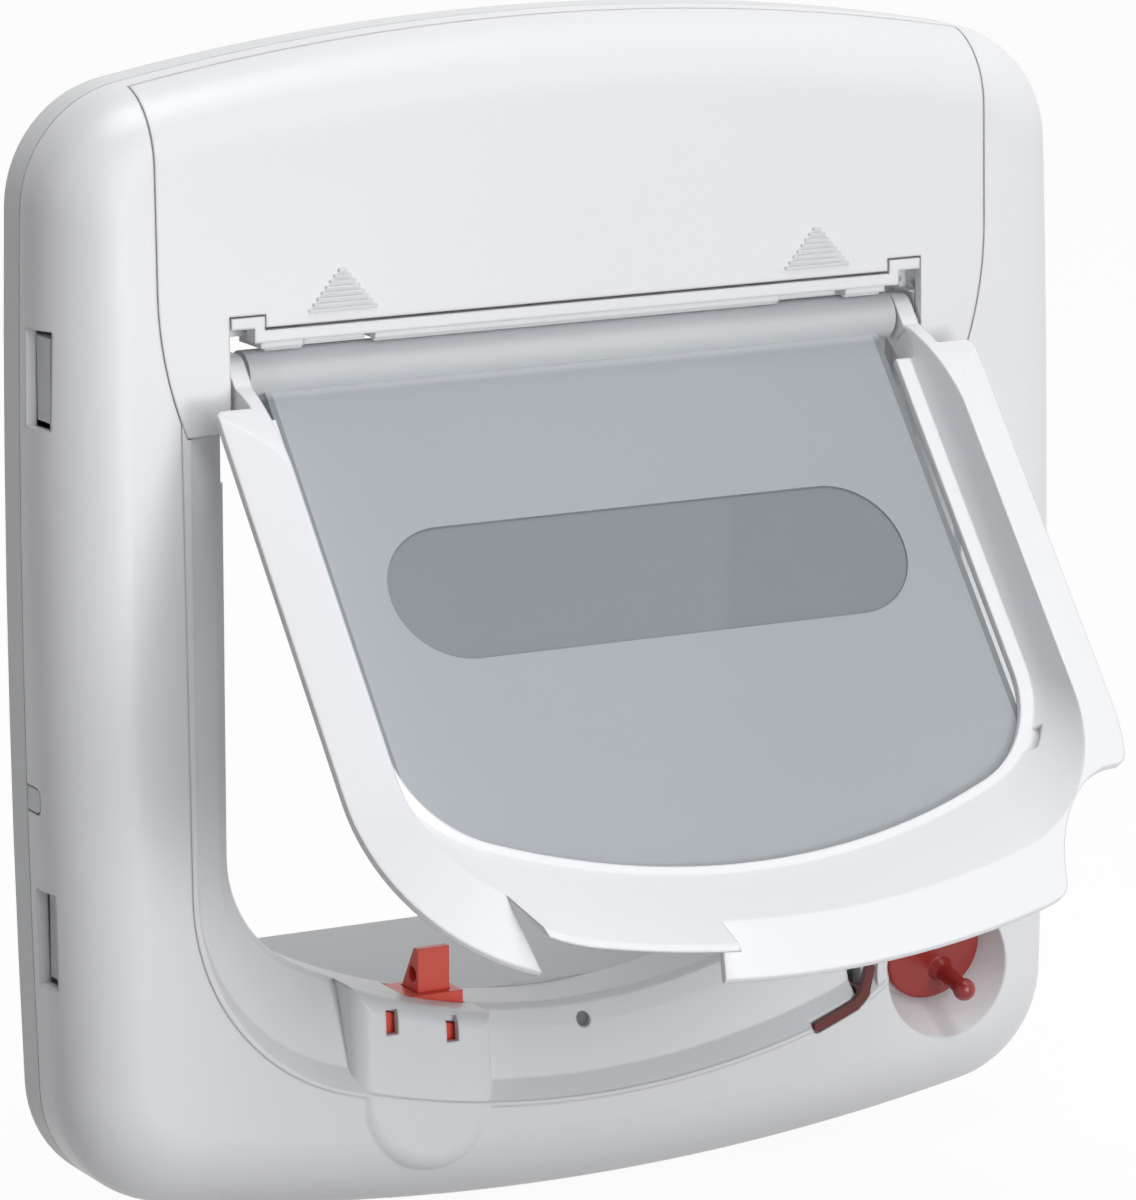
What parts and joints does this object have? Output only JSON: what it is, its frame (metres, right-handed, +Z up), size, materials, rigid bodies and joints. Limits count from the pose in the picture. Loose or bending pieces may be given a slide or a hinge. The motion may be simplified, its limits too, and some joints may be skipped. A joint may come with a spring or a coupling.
{
  "type": "cat flap",
  "caption": "Lockable cat flap for a door: bulged frame with lining tunnel, swing surround with clear panel, sliding catch, turning lock and a lift-up top cover.",
  "frame": {"origin": "on the rear face that lies against the door, midway between the four fixing holes", "axes": "+X to the right as seen from the room, +Y into the door, +Z up"},
  "size_m": [0.241, 0.1854, 0.252],
  "materials": {
    "white_shell": "moulded, satin gloss",
    "white_matt": "moulded, matt",
    "frosted_clear": "clear plastic, fine grain",
    "red": "moulded, satin gloss",
    "dark_red": "moulded, satin gloss",
    "grey": "moulded",
    "steel": "zinc plated",
    "magnet": "sintered ferrite",
    "copper": "enamelled winding",
    "cell_sleeve": "printed-free sleeve",
    "board": "solder resist"
  },
  "bodies": {
    "frame": {"front_cover": "white_shell", "back_plate": "white_matt", "tunnel_liner": "white_matt", "hinge_bar": "white_shell", "bar_screws": "steel", "hinge_pins": "steel", "sill_magnet": "magnet", "catch_guide": "dark_red", "catch_spring": "steel", "latch_coil": "copper", "coil_core": "steel", "sensor_lens": "grey", "circuit_board": "board", "board_screws": "steel", "battery_tray": "white_matt", "battery_cells": "cell_sleeve", "battery_contacts": "steel", "tray_screws": "steel"},
    "hood": {"top_cover": "white_shell"},
    "surround": {"flap_surround": "white_shell"},
    "panel": {"flap_panel": "frosted_clear", "panel_magnet": "magnet"},
    "catch": {"catch_bolt": "red"},
    "selector": {"selector_knob": "red", "selector_spindle": "red", "spindle_clip": "steel"},
    "slider": {"lock_slider": "dark_red"}
  },
  "joints": [
    {"name": "hood_slide", "type": "slide", "parent": "frame", "child": "hood", "axis": [0, 0, 1], "range_m": [0, 0.016]},
    {"name": "surround_swing", "type": "hinge", "parent": "frame", "child": "surround", "pos_m": [0, -0.0198, 0.0567], "axis": [-1, 0, 0], "range_deg": [-40, 45]},
    {"name": "panel_swing", "type": "hinge", "parent": "surround", "child": "panel", "pos_m": [0, -0.0198, 0.0567], "axis": [-1, 0, 0], "range_deg": [-85, 0]},
    {"name": "catch_slide", "type": "slide", "parent": "frame", "child": "catch", "axis": [0, 0, 1], "range_m": [-0.008, 0.0045], "stiffness_N_per_m": 60, "deforming": ["catch_spring"]},
    {"name": "selector_turn", "type": "hinge", "parent": "frame", "child": "selector", "pos_m": [0.0878, -0.022, -0.0845], "axis": [0, -0.9751, -0.2215], "range_deg": [0, 90]},
    {"name": "lock_lift", "type": "slide", "parent": "frame", "child": "slider", "axis": [0, 0, 1], "range_m": [0, 0.005]}
  ],
  "couplings": [
    {"joint": "lock_lift", "follows": "selector_turn", "m_per_rad": 0.003183}
  ]
}
